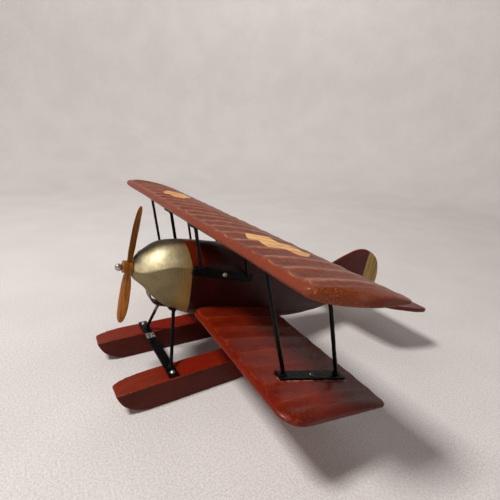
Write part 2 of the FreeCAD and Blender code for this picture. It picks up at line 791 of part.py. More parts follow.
scoop = node(cut_all("chin_scoop", chin_scoop(), [front_frame, front_belly_screw]), "chin_scoop")

# ---------------------------------------------------------------- tail surfaces
def fin_body():
    body = new_body("fin_body")
    sketch = new_sketch(body, "fin_outline", "YZ_Plane", 0.0)
    rear = dim("rudder_y")
    leading = [(232.0, 9.0), (240.0, 14.6), (247.0, 19.0), (260.0, 26.9), (272.0, 33.2), (284.0, 38.2),
               (294.7, 40.2), (rear, 38.6)]
    outline(sketch, [leading, [(rear, 38.6), (rear, 2.0)], [(rear, 2.0), (232.0, 2.0)],
                     [(232.0, 2.0), (232.0, 9.0)]])
    pad(body, sketch, "Dims.fin_thickness", True)
    tilt_body(body)
    return body


def rudder_body():
    body = new_body("rudder_body")
    sketch = new_sketch(body, "rudder_outline", "YZ_Plane", 0.0)
    hinge = dim("rudder_y")
    trailing = [(hinge, 38.6), (312.0, 36.6), (320.5, 32.0), (327.5, 25.2), (332.4, 15.6), (335.0, 4.0),
                (333.6, -7.0), (327.0, -13.4), (317.0, -15.4), (hinge, -15.0)]
    outline(sketch, [trailing, [(hinge, -15.0), (hinge, 38.6)]])
    pad(body, sketch, "Dims.fin_thickness", True)
    tilt_body(body)
    return body


def tailplane_body():
    body = new_body("tailplane_body")
    sketch = new_sketch(body, "tailplane_outline", "XY_Plane", 0.0, "-Dims.tailplane_thickness / 2")
    tip = dim("tailplane_half_span")
    side = [(0.0, 228.0), (40.0, 231.5), (68.0, 235.5), (84.0, 242.0), (92.5, 256.0), (97.5, 273.0),
            (tip, 294.0), (tip - 1.6, 301.0), (tip - 7.0, 303.0)]
    twin = [(-x, y) for x, y in reversed(side)]
    outline(sketch, [twin + side[1:], [side[-1], twin[0]]])
    pad(body, sketch, "Dims.tailplane_thickness")
    tilt_body(body)
    return body


def softened(name, body, radius):
    """A body with the curved rims of its pad rounded."""
    doc.recompute()
    flat = body.Tip
    rims = []
    for number, edge in enumerate(flat.Shape.Edges, start=1):
        if isinstance(edge.Curve, Part.BSplineCurve):
            rims.append("Edge%d" % number)
    rounding = body.newObject("PartDesign::Fillet", name)
    rounding.Base = (flat, rims)
    rounding.setExpression("Radius", radius)
    body.Tip = rounding
    return body


tailplane_form = softened("tailplane_round_over", tailplane_body(), "Dims.tailplane_rounding")
fin_form = softened("fin_round_over", fin_body(), "Dims.tail_rounding")
rudder_form = softened("rudder_round_over", rudder_body(), "Dims.tail_rounding")

# ---------------------------------------------------------------- dowels
wing_dowels = []
for number, y in enumerate((88.0, 120.0), start=1):
    wing_dowels.append(rod("wing_dowel_%d" % number, on_airframe((-44, y, -31.3)),
                           on_airframe((44, y, -31.3)), "Dims.wing_dowel / 2"))
fin_dowels = []
for number, (y, top) in enumerate(((266.0, 21.0), (292.0, 22.0)), start=1):
    fin_dowels.append(rod("fin_dowel_%d" % number, on_airframe((0, y, 3.0)),
                          on_airframe((0, y, top)), "Dims.fin_dowel / 2"))
node(compound("lower_wing_dowels", wing_dowels), "lower_wing_dowels")
node(compound("fin_dowels", fin_dowels), "fin_dowels")

# ---------------------------------------------------------------- fuselage and cowl
trim = doc.addObject("Part::Box", "cowl_trim")
trim.Length, trim.Width, trim.Height = 120.0, 100.0, 140.0
trim_turn = FreeCAD.Rotation(V(1, 0, 0), dim("cowl_trim_tilt"))
trim_local = FreeCAD.Placement(V(0, dim("cowl_trim_y"), 0), trim_turn)
trim_shift = FreeCAD.Placement(V(-60, -100, -70), FreeCAD.Rotation())
trim.Placement = AIRFRAME.multiply(trim_local).multiply(trim_shift)
front_part = doc.addObject("Part::Common", "nose_front")
front_part.Base = fuselage_form
front_part.Tool = trim
cowl_shell = cut("cowl_shell", front_part, nose_plug)
nose_cowl = node(cut_all("nose_cowl", cowl_shell, [pin, front_frame, front_belly_screw, scoop]),
                 "nose_cowl")
fuselage = node(cut_all("fuselage", fuselage_form,
                        [cowl_shell, pin, front_frame, front_belly_screw, rear_frame, rear_belly_screw,
                         scoop, cabane_port, cabane_starboard, cabane_side_screw, cabane_side_twin,
                         tailplane_form] + wing_dowels + fin_dowels), "fuselage")
node(cut_all("tail_fin", fin_form, [fuselage_form, tailplane_form] + fin_dowels), "tail_fin")
node(rudder_form, "rudder")
node(tailplane_form, "tailplane")

# ---------------------------------------------------------------- wings, cut for what enters them
def inlay_well(name):
    """The oval prism of the port inlay, from its floor to well above the wing."""
    body = new_body(name)
    sketch = new_sketch(body, name + "_oval", "XY_Plane", 0.0)
    centre = V(dim("inlay_x"), dim("inlay_y"), 0)
    turn = FreeCAD.Rotation(V(0, 0, 1), dim("inlay_turn"))
    reach = turn.multVec(V(dim("inlay_length") / 2, 0, 0))
    across = turn.multVec(V(0, dim("inlay_width") / 2, 0))
    sketch.addGeometry(Part.Ellipse(centre + reach, centre + across, centre), False)
    floor = dim("upper_level") + dim("upper_crown") - dim("inlay_depth")
    sketch.AttachmentOffset = FreeCAD.Placement(V(0, 0, floor), FreeCAD.Rotation())
    pad(body, sketch, "12 mm")
    tilt_body(body)
    return body


well_port = inlay_well("inlay_well")
well_starboard = mirror("inlay_well_twin", well_port)
for side, well in (("port", well_port), ("starboard", well_starboard)):
    inlay = doc.addObject("Part::Common", "wing_inlay_" + side)
    inlay.Base = upper_form
    inlay.Tool = well
    node(inlay, "wing_inlay_" + side)
node(cut_all("upper_wing", upper_form,
             [well_port, well_starboard, interplane_high_screw, interplane_high_twin,
              cabane_high_screw, cabane_high_twin, interplane_port, interplane_starboard,
              cabane_port, cabane_starboard]), "upper_wing")
lower_port = node(cut_all("lower_wing_port", lower_form,
                          [fuselage_form, interplane_port, interplane_low_screw] + wing_dowels),
                  "lower_wing_port")
node(mirror("lower_wing_starboard", lower_port), "lower_wing_starboard")

# ---------------------------------------------------------------- floats
def float_body():
    """A slab-sided float: flat deck, bow drawn in and rounded under, stern swept up."""
    body = new_body("float_body")
    sketch = new_sketch(body, "float_side", "YZ_Plane", 0.0)
    hub = dim("hub_y")
    bow = hub + dim("float_bow")
    stern = hub + dim("float_stern")
    deck = dim("float_height")
    deck_bow = [(bow + 31.5, deck), (bow + 21.5, deck - 0.25), (bow + 13.5, deck - 0.8),
                (bow + 7.5, deck - 1.4), (bow + 3.0, deck - 2.2), (bow + 0.9, deck - 2.9),
                (bow, deck - 4.4)]
    under_bow = [(bow, deck - 4.4), (bow + 2.2, 14.4), (bow + 4.7, 10.4), (bow + 8.4, 6.9),
                 (bow + 14.5, 3.4), (bow + 21.5, 1.1), (bow + 31.5, 0.0)]
    under_stern = [(stern - 26.0, 0.0), (stern - 15.0, 1.0), (stern - 6.0, 3.6), (stern, 6.6)]
    outline(sketch, [deck_bow, under_bow, [under_bow[-1], under_stern[0]], under_stern,
                     [under_stern[-1], (stern, deck)], [(stern, deck), deck_bow[0]]])
    pad(body, sketch, "Dims.float_width", True)
    doc.recompute()
    plan = new_sketch(body, "bow_plan", "XY_Plane", 0.0, "-5")
    half = dim("float_width") / 2
    for side in (1, -1):
        edge = [(side * (half - 3.4), bow - 0.01), (side * (half - 2.1), bow + 4.0),
                (side * (half - 0.9), bow + 12.0), (side * (half - 0.2), bow + 20.0),
                (side * half, bow + 28.0)]
        far = side * (half + 4.0)
        outline(plan, [edge, [edge[-1], (far, edge[-1][1])], [(far, edge[-1][1]), (far, edge[0][1])],
                       [(far, edge[0][1]), edge[0]]])
    pocket = body.newObject("PartDesign::Pocket", "bow_taper")
    pocket.Profile = plan
    pocket.Type = "Length"
    pocket.Length = 60.0
    pocket.Reversed = True
    body.Tip = pocket
    pivot = V(0, hub + dim("front_bar_y"), 0)
    toe = FreeCAD.Placement(V(dim("float_x"), 0, 0), FreeCAD.Rotation(V(0, 0, 1), dim("float_toe")), pivot)
    body.Placement = toe
    return body


float_form = float_body()
node(cut_all("float_port", float_form, [front_deck_screws[0], rear_deck_screws[0]]), "float_port")
node(cut_all("float_starboard", mirror("float_form_twin", float_form),
             [front_deck_screws[1], rear_deck_screws[1]]), "float_starboard")

# ---------------------------------------------------------------- checks and export
doc.recompute()
for obj in doc.Objects:
    bad = [flag for flag in ("Invalid", "Error") if flag in obj.State]
    if bad:
        raise RuntimeError("%s is %s" % (obj.Label, " ".join(bad)))
for obj in nodes:
    if obj.Shape.isNull() or not obj.Shape.isValid() or not obj.Shape.Solids:
        raise RuntimeError("%s has no valid shape" % obj.Label)
for obj in nodes:
    obj.Shape.exportStep("parts/%s.step" % obj.Label)
    extent = obj.Shape.optimalBoundingBox()
    print("%-28s solids %d volume %9.1f  x %7.1f %7.1f  y %7.2f %7.2f  z %6.1f %6.1f" % (
        obj.Label, len(obj.Shape.Solids), obj.Shape.Volume, extent.XMin, extent.XMax,
        extent.YMin, extent.YMax, extent.ZMin, extent.ZMax))
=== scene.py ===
import json
import math

import bpy
from mathutils import Matrix, Vector


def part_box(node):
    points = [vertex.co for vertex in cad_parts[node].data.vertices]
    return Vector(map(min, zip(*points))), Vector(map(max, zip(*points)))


# The looks of a carved wooden biplane on floats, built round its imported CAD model.
# Metres, +Z up, nose towards -Y, port wings towards +X. Material patterns are laid out in millimetres.

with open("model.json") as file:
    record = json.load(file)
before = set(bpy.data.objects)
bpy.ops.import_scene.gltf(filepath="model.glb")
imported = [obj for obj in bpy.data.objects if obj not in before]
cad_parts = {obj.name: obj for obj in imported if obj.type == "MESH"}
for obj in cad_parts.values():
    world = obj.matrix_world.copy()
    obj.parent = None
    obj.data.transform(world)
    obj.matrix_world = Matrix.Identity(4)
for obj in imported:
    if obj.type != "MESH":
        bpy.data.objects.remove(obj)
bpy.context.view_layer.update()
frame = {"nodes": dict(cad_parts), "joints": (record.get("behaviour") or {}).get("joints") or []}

spin = frame["joints"][0]
HUB = Vector(spin["pos_m"])
# The propeller turns about the airframe's fore-and-aft line, so its tilt is the airframe's.
PITCH = math.atan2(spin["axis"][2], -spin["axis"][1])
MM = 1000.0
inlay_low, inlay_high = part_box("wing_inlay_port")
float_low, float_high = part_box("float_port")
# Places that the patterns are laid out by, in millimetres.
BOW = float_low[1] * MM
BAR_THICKNESS = 2.2
FRONT_BAR_TOP = float_high[2] * MM + BAR_THICKNESS
INLAY_X = (inlay_low[0] + inlay_high[0]) / 2 * MM
RIB_PITCH = 18.8


# ---------------------------------------------------------------- material writing
def tint(red, green, blue):
    """A colour as it is seen on screen, 0 to 255, as the linear colour that a shader takes."""
    def linear(level):
        share = level / 255
        return share / 12.92 if share <= 0.04045 else ((share + 0.055) / 1.055) ** 2.4
    return (linear(red), linear(green), linear(blue), 1.0)


class Shader:
    """Writes one node material. Each method adds a node and gives back its output."""

    def __init__(self, name):
        self.material = bpy.data.materials.new(name)
        self.material.use_nodes = True
        self.tree = self.material.node_tree
        self.surface = self.tree.nodes["Principled BSDF"]

    def node(self, kind, inputs=None, **settings):
        made = self.tree.nodes.new(kind)
        for key, value in settings.items():
            setattr(made, key, value)
        for key, value in (inputs or {}).items():
            self.join(made.inputs[key], value)
        return made

    def join(self, socket, value):
        if isinstance(value, bpy.types.NodeSocket):
            self.tree.links.new(value, socket)
        else:
            socket.default_value = value

    def set(self, **inputs):
        """Sets inputs of the surface; underscores stand for spaces."""
        for key, value in inputs.items():
            self.join(self.surface.inputs[key.replace("_", " ")], value)

    def level(self):
        """Place in the model's frame, in millimetres."""
        source = self.node("ShaderNodeTexCoord").outputs["Object"]
        made = self.node("ShaderNodeMapping", {"Vector": source, "Scale": (MM, MM, MM)})
        return made.outputs["Vector"]

    def airframe(self):
        """Place in the airframe's frame, in millimetres: x to port, y aft of the hub, z up."""
        turn = Matrix.Rotation(PITCH, 4, "X")
        shift = turn @ (-HUB * MM)
        source = self.node("ShaderNodeTexCoord").outputs["Object"]
        made = self.node("ShaderNodeMapping", {"Vector": source, "Scale": (MM, MM, MM),
                                               "Rotation": (PITCH, 0, 0), "Location": shift})
        return made.outputs["Vector"]

    def parts(self, vector):
        """The x, y and z of a place, each on its own."""
        split = self.node("ShaderNodeSeparateXYZ", {"Vector": vector})
        return split.outputs["X"], split.outputs["Y"], split.outputs["Z"]

    def stretch(self, vector, scale, shift=(0, 0, 0)):
        made = self.node("ShaderNodeMapping", {"Vector": vector, "Scale": scale, "Location": shift})
        return made.outputs["Vector"]

    def noise(self, vector, scale=1.0, detail=4.0, rough=0.55, warp=0.0):
        made = self.node("ShaderNodeTexNoise", {"Vector": vector, "Scale": scale, "Detail": detail,
                                                "Roughness": rough, "Distortion": warp})
        return made.outputs["Fac"]

    def math(self, operation, first, second=0.0):
        made = self.node("ShaderNodeMath", operation=operation)
        self.join(made.inputs[0], first)
        self.join(made.inputs[1], second)
        return made.outputs[0]

    def between(self, value, low, high, out_low=0.0, out_high=1.0):
        """Eases from out_low to out_high as value goes from low to high."""
        made = self.node("ShaderNodeMapRange", interpolation_type="SMOOTHSTEP")
        self.join(made.inputs["Value"], value)
        self.join(made.inputs["From Min"], low)
        self.join(made.inputs["From Max"], high)
        self.join(made.inputs["To Min"], out_low)
        self.join(made.inputs["To Max"], out_high)
        return made.outputs["Result"]

    def mix(self, share, first, second):
        made = self.node("ShaderNodeMix", data_type="RGBA")
        self.join(made.inputs["Factor"], share)
        self.join(made.inputs["A"], first)
        self.join(made.inputs["B"], second)
        return made.outputs["Result"]

    def tone(self, colour, amount):
        """A colour made lighter or darker: amount 1 leaves it as it is."""
        made = self.node("ShaderNodeVectorMath", operation="SCALE")
        self.join(made.inputs["Vector"], colour)
        self.join(made.inputs["Scale"], amount)
        return made.outputs["Vector"]

    def bump(self, height, depth_mm, strength=1.0, under=None):
        """Bump whose height 0 to 1 stands for depth_mm."""
        made = self.node("ShaderNodeBump", {"Height": height, "Distance": depth_mm / MM,
                                            "Strength": strength})
        if under is not None:
            self.join(made.inputs["Normal"], under)
        return made.outputs["Normal"]


def wander(s, place, scale, reach, detail=3.0):
    """Noise centred on nought, reach from end to end, in millimetres."""
    return s.math("MULTIPLY", s.math("SUBTRACT", s.noise(place, scale, detail, 0.62), 0.5), reach)


class Wing:
    """Distances that a wing's colours are laid out by, in millimetres, and the wood patterns they share."""

    def __init__(self, s, look):
        self.place = s.airframe()
        x, y, _ = s.parts(self.place)
        self.behind_front = s.math("SUBTRACT", y, look["front"])
        span = s.math("ABSOLUTE", x)
        self.from_tip = s.math("SUBTRACT", look["half_span"], span)
        # a raked tip: its edge stands further in towards the front
        rake = s.between(self.behind_front, 34.0, 4.0, 0.0, look["rake"])
        self.from_edge = s.math("SUBTRACT", self.from_tip, rake)
        # distance from the nearest rib crest
        phase = s.math("FRACT", s.math("DIVIDE", span, RIB_PITCH))
        off_crest = s.math("MULTIPLY", s.math("ABSOLUTE", s.math("SUBTRACT", phase, 0.5)), RIB_PITCH)
        self.off_crest = s.math("ADD", off_crest, wander(s, self.place, 0.12, 3.0, 2.0))
        # 1 on the wing's top, 0 on its underside, which has no ribs
        facing = s.node("ShaderNodeNewGeometry").outputs["Normal"]
        self.top = s.between(s.parts(facing)[2], 0.0, 0.3)
        self.streaks = s.noise(s.stretch(self.place, (0.5, 0.05, 0.3)), 1.0, 5.0, 0.6, 0.3)
        self.fine = s.noise(s.stretch(self.place, (2.4, 0.3, 1.6)), 1.0, 4.0, 0.6)
        self.patchy = s.between(s.noise(self.place, 0.09, 4.0, 0.6), 0.3, 0.6, 0.45, 1.0)
        # small flecks where the front corners are handled
        self.handled = s.math("MULTIPLY", s.between(self.from_edge, 13.0, 3.0),
                              s.between(self.behind_front, 48.0, 12.0))
        fleck = s.between(s.noise(s.stretch(self.place, (1.6, 0.8, 1.6)), 1.0, 6.0, 0.75), 0.54, 0.66)
        self.fleck = s.math("MULTIPLY", fleck, self.handled)


def wing_ground(s, wing, look):
    """Cloudy lacquer with streaks along the chord, fading to another colour towards the rear; on the lower
    wing that dark rear colour is painted shadow, cast by the upper wing.
    """
    clouds = s.noise(wing.place, 0.04, 4.0, 0.55)
    colour = s.mix(s.between(clouds, 0.32, 0.68), look["deep"], look["worn"])
    colour = s.mix(s.between(wing.streaks, 0.5, 0.72, 0.0, 0.5), colour, look["streak"])
    # On the lower wing this fade to a dark rear colour is painted shadow, cast by the upper wing.
    fade_start, fade_end, share = look["fade"]
    return s.mix(s.between(wing.behind_front, fade_start, fade_end, 0.0, share), colour, look["rear"])


def rib_highlights_and_shade(s, wing, look, colour):
    """Rib crests painted pale, a painted highlight with some rubbed wear, and painted shade in the hollows
    between them.
    """
    behind = s.between(s.math("ADD", wing.behind_front, wander(s, wing.place, 0.2, 5.0)), 1.0, 6.0)
    # painted highlight along the rib crests, partly rubbed wear
    crest = s.math("MULTIPLY", s.between(wing.off_crest, 2.8, 0.4), behind)
    crest = s.math("MULTIPLY", s.math("MULTIPLY", crest, wing.top),
                   s.between(wing.streaks, 0.35, 0.6, 0.45, 1.0))
    colour = s.mix(s.math("MULTIPLY", crest, look["crest_highlight_and_wear"]), colour, look["rib"])
    # painted shade in the hollows between ribs, strongest towards the front
    hollow = s.math("MULTIPLY", s.between(wing.off_crest, 5.0, 8.8), s.between(wing.behind_front, 3.0, 8.0))
    hollow = s.math("MULTIPLY", s.math("MULTIPLY", hollow, wing.top),
                    s.between(wing.behind_front, 46.0, 12.0, 0.35, 1.0))
    return s.mix(s.math("MULTIPLY", hollow, look["hollow"]), colour, look["shade"])


def bright_rims(s, wing, look, colour):
    """Brighter wood round the leading edge and the tip, wandering where the lacquer is thin."""
    lead = s.between(s.math("ADD", wing.behind_front, wander(s, wing.place, 0.16, 5.0, 4.0)), 3.2, 1.0)
    lead = s.math("MULTIPLY", lead, wing.patchy)
    colour = s.mix(s.math("MULTIPLY", lead, look["rim"]), colour, look["band"])
    at_tip = s.between(s.math("ADD", wing.from_edge, wander(s, wing.place, 0.1, 9.0, 4.0)), 10.0, 3.0)
    at_tip = s.math("MULTIPLY", at_tip, s.between(wing.behind_front, 70.0, 40.0, 0.5, 1.0))
    at_tip = s.math("MULTIPLY", at_tip, wing.patchy)
    return s.mix(s.math("MULTIPLY", at_tip, 0.85), colour, look["tip"])


def scalloped_highlight_line(s, wing, look, colour):
    """A painted highlight line where the rounded front ends and the hollows between ribs begin."""
    across = s.math("SUBTRACT", 1.0, s.math("DIVIDE", wing.off_crest, RIB_PITCH / 2))
    start = s.math("MULTIPLY", s.math("MULTIPLY", across, across), look["scallop"])
    line = s.math("SUBTRACT", wing.behind_front, s.math("ADD", start, look["line_start"]))
    line = s.math("ABSOLUTE", s.math("ADD", line, wander(s, wing.place, 0.2, 5.0, 4.0)))
    # breaks the painted highlight line into patches
    worn = s.between(s.noise(wing.place, 0.16, 4.0, 0.65), 0.42, 0.6)
    line = s.math("MULTIPLY", s.math("MULTIPLY", s.between(line, 1.0, 0.2), wing.top), worn)
    return s.mix(s.math("MULTIPLY", line, look["line_highlight"]), colour, look["line"])


def carved_wing(name, look):
    """Lacquered wing wood: brush streaks along the chord, rib crests with a painted highlight and hollows
    with painted shade, a painted highlight line behind the leading edge, and a brighter leading edge and tip.
    """
    s = Shader(name)
    wing = Wing(s, look)
    colour = wing_ground(s, wing, look)
    colour = rib_highlights_and_shade(s, wing, look, colour)
    colour = bright_rims(s, wing, look, colour)
    colour = scalloped_highlight_line(s, wing, look, colour)
    colour = s.mix(s.math("MULTIPLY", wing.fleck, look["chips"]), colour, look["fleck"])
    edge = s.between(s.math("ADD", wing.from_tip, wander(s, wing.place, 0.2, 3.0)), 3.6, 0.6)
    colour = s.mix(s.math("MULTIPLY", edge, 0.45), colour, look["shade"])
    if "foot" in look:
        scraped = plate_rim(s, wing.place, look["foot"])
        colour = s.mix(s.math("MULTIPLY", scraped, 0.55), colour, tint(196, 150, 138))
    colour = s.tone(colour, s.between(wing.fine, 0.25, 0.75, 0.86, 1.12))
    gloss = s.between(s.noise(wing.place, 0.3, 4.0), 0.3, 0.7, look["gloss"], look["gloss"] + 0.14)
    gloss = s.math("SUBTRACT", gloss, s.math("MULTIPLY", s.math("MULTIPLY", wing.handled, wing.fleck), 0.15))
    relief = s.math("ADD", s.math("MULTIPLY", wing.streaks, 0.7), s.math("MULTIPLY", wing.fine, 0.3))
    normal = s.bump(relief, 0.22, 0.7)
    normal = s.bump(s.noise(wing.place, 0.3, 3.0), 0.45, 0.5, normal)
    normal = s.bump(s.math("SUBTRACT", 1.0, wing.fleck), 0.15, 0.5, normal)
    s.set(Base_Color=colour, Roughness=gloss, Normal=normal, Coat_Weight=look["coat"], Coat_Roughness=0.2,
          Specular_IOR_Level=0.16)
    return s.material


def plate_rim(s, place, foot):
    """A narrow ring round the strut frame's foot plate, where the lacquer was scraped."""
    centre_x, centre_y, half_wide, half_long, toe = foot
    x, y, _ = s.parts(place)
    across = s.math("SUBTRACT", s.math("ABSOLUTE", x), centre_x)
    along = s.math("SUBTRACT", y, centre_y)
    cosine, sine = math.cos(toe), math.sin(toe)
    turned_x = s.math("SUBTRACT", s.math("MULTIPLY", across, cosine), s.math("MULTIPLY", along, sine))
    turned_y = s.math("ADD", s.math("MULTIPLY", across, sine), s.math("MULTIPLY", along, cosine))
    past_side = s.math("SUBTRACT", s.math("ABSOLUTE", turned_x), half_wide)
    past_end = s.math("SUBTRACT", s.math("ABSOLUTE", turned_y), half_long)
    outside = s.math("MAXIMUM", past_side, past_end)
    ring = s.between(outside, 1.5, 0.7)
    patchy = s.between(s.noise(place, 0.25, 4.0, 0.6), 0.42, 0.58)
    outer = s.between(turned_x, -2.0, 3.0)
    return s.math("MULTIPLY", ring, s.math("MULTIPLY", patchy, outer))


def body_lacquer(name, dark, red, lit_top_colour=None):
    """Dark red-brown lacquer over a carved block, with the red wood showing through where it is thin, and
    painted light, a lighter orange-red, on the top just behind the cowl when that colour is given.
    """
    s = Shader(name)
    place = s.airframe()
    _, y, z = s.parts(place)
    grain = s.noise(s.stretch(place, (0.9, 0.05, 0.9)), 1.0, 5.0, 0.6, 0.4)
    clouds = s.noise(place, 0.03, 4.0, 0.55)
    colour = s.mix(s.between(clouds, 0.35, 0.65), dark, red)
    colour = s.tone(colour, s.between(grain, 0.3, 0.7, 0.78, 1.2))
    if lit_top_colour:
        # painted light: the top of the fuselage just behind the cowl is painted a lighter orange-red, as lit
        roam = wander(s, place, 0.09, 9.0)
        near_cowl = s.between(s.math("ADD", y, roam), 62.0, 55.0)
        high = s.between(s.math("ADD", z, roam), 9.0, 14.0)
        colour = s.mix(s.math("MULTIPLY", near_cowl, high), colour, lit_top_colour)
    gloss = s.between(s.noise(place, 0.2, 4.0), 0.3, 0.7, 0.28, 0.42)
    normal = s.bump(grain, 0.18, 0.6)
    normal = s.bump(s.noise(place, 0.12, 3.0), 0.7, 0.35, normal)
    s.set(Base_Color=colour, Roughness=gloss, Normal=normal, Coat_Weight=0.1, Coat_Roughness=0.2,
          Specular_IOR_Level=0.16)
    return s.material


def float_lacquer():
    """Float wood: the top painted as lit, a lighter red, and the flanks painted in shade, a darker brown;
    pale worn corners and a dark foot.
    """
    s = Shader("float_lacquer")
    place = s.level()
    _, y, z = s.parts(place)
    grain = s.noise(s.stretch(place, (0.8, 0.04, 0.8)), 1.0, 5.0, 0.6, 0.4)
    shape = s.node("ShaderNodeNewGeometry")
    up = s.parts(shape.outputs["Normal"])[2]
    # painted light and shade: the top gets a lit, lighter red and the flanks a shaded, darker brown, by which
    # way each faces
    shaded_sides = s.mix(s.between(s.noise(place, 0.04, 4.0), 0.35, 0.65), tint(74, 22, 14), tint(86, 27, 17))
    lit_deck = s.mix(s.between(s.noise(place, 0.05, 4.0), 0.35, 0.65), tint(118, 32, 10), tint(108, 40, 22))
    lit_deck = s.mix(s.between(y, BOW + 55.0, BOW + 20.0), tint(118, 24, 6), lit_deck)
    colour = s.mix(s.between(up, 0.45, 0.75), shaded_sides, lit_deck)
    colour = s.tone(colour, s.between(grain, 0.3, 0.7, 0.82, 1.18))
    corner = s.between(shape.outputs["Pointiness"], 0.52, 0.56)
    corner = s.math("MULTIPLY", corner, s.between(s.noise(place, 0.35, 5.0, 0.65), 0.4, 0.65))
    colour = s.mix(s.math("MULTIPLY", corner, 0.45), colour, tint(160, 92, 66))
    low = s.between(s.math("ADD", z, wander(s, place, 0.15, 1.6)), 1.8, 0.2)
    colour = s.mix(s.math("MULTIPLY", low, 0.7), colour, tint(34, 18, 16))
    gloss = s.between(s.noise(place, 0.25, 4.0), 0.3, 0.7, 0.36, 0.52)
    normal = s.bump(grain, 0.16, 0.6)
    normal = s.bump(s.noise(place, 0.15, 3.0), 0.5, 0.3, normal)
    s.set(Base_Color=colour, Roughness=gloss, Normal=normal, Specular_IOR_Level=0.14)
    return s.material


def grained_wood(name, pale, line, along, lines_per_mm, gloss, warp=1.5, share=0.8):
    """The shader of clear-finished wood whose grain runs along one axis of the airframe: "x", "y" or "z"."""
    s = Shader(name)
    place = s.airframe()
    change_along_grain = 0.035
    scale = [lines_per_mm] * 3
    scale["xyz".index(along)] = lines_per_mm * change_along_grain
    lines = s.noise(s.stretch(place, tuple(scale)), 1.0, 4.0, 0.6, warp)
    pores = s.noise(s.stretch(place, tuple(4.0 * v for v in scale)), 1.0, 3.0, 0.6)
    broad = s.noise(s.stretch(place, tuple(0.35 * v for v in scale)), 1.0, 2.0, 0.5)
    colour = s.mix(s.between(lines, 0.46, 0.64, 0.0, share), pale, line)
    colour = s.mix(s.between(broad, 0.5, 0.7, 0.0, 0.35), colour, line)
    colour = s.tone(colour, s.between(pores, 0.3, 0.7, 0.86, 1.1))
    rough = s.between(pores, 0.3, 0.7, gloss - 0.05, gloss + 0.1)
    normal = s.bump(pores, 0.08, 0.6, s.bump(lines, 0.14, 0.5))
    s.set(Base_Color=colour, Roughness=rough, Normal=normal, Coat_Weight=0.05, Coat_Roughness=0.25,
          Specular_IOR_Level=0.2)
    return s


def inlay_wood():
    """Pale orange-tan wood let into the wing, streaked along the chord, redder towards its middle."""
    s = grained_wood("inlay_wood", tint(238, 186, 122), tint(196, 124, 64), "y", 0.42, 0.36, 0.9, 0.75)
    place = s.airframe()
    x, _, _ = s.parts(place)
    base = s.surface.inputs["Base Color"].links[0].from_socket
    across = s.math("SUBTRACT", s.math("ABSOLUTE", x), INLAY_X)
    patch = s.between(s.noise(s.stretch(place, (0.2, 0.06, 0.2)), 1.0, 4.0), 0.5, 0.66)
    middle = s.math("MULTIPLY", s.between(s.math("ABSOLUTE", across), 12.0, 2.0), patch)
    colour = s.mix(s.math("MULTIPLY", middle, 0.6), base, tint(168, 84, 44))
    rim = s.math("ABSOLUTE", s.math("ADD", across, wander(s, place, 0.1, 4.0)))
    colour = s.mix(s.between(rim, 17.0, 23.0, 0.0, 0.4), colour, tint(190, 112, 50))
    s.set(Base_Color=colour)
    return s.material


def rudder_wood():
    """Gold-olive wood with upright grain, with painted shade darkening its rounded trailing edge and both
    faces' rims.
    """
    s = grained_wood("rudder_wood", tint(190, 156, 90), tint(120, 86, 38), "z", 0.3, 0.38, 0.6, 0.85)
    place = s.airframe()
    x, _, _ = s.parts(place)
    base = s.surface.inputs["Base Color"].links[0].from_socket
    # painted shade on the rudder's thin edge faces
    off_face = s.math("ADD", s.math("ABSOLUTE", x), wander(s, place, 0.3, 0.8))
    edge = s.between(off_face, 2.35, 1.7)
    s.set(Base_Color=s.mix(s.math("MULTIPLY", edge, 0.9), base, tint(58, 22, 14)))
    return s.material


def propeller_wood():
    """Honey-brown wood with dark grain along the blades."""
    s = grained_wood("propeller_wood", tint(156, 92, 16), tint(88, 44, 6), "z", 0.6, 0.38, 1.2, 0.8)
    return s.material


def dowel_wood(name, along):
    """Plain pale hardwood."""
    return grained_wood(name, tint(205, 168, 118), tint(160, 116, 70), along, 1.2, 0.5).material


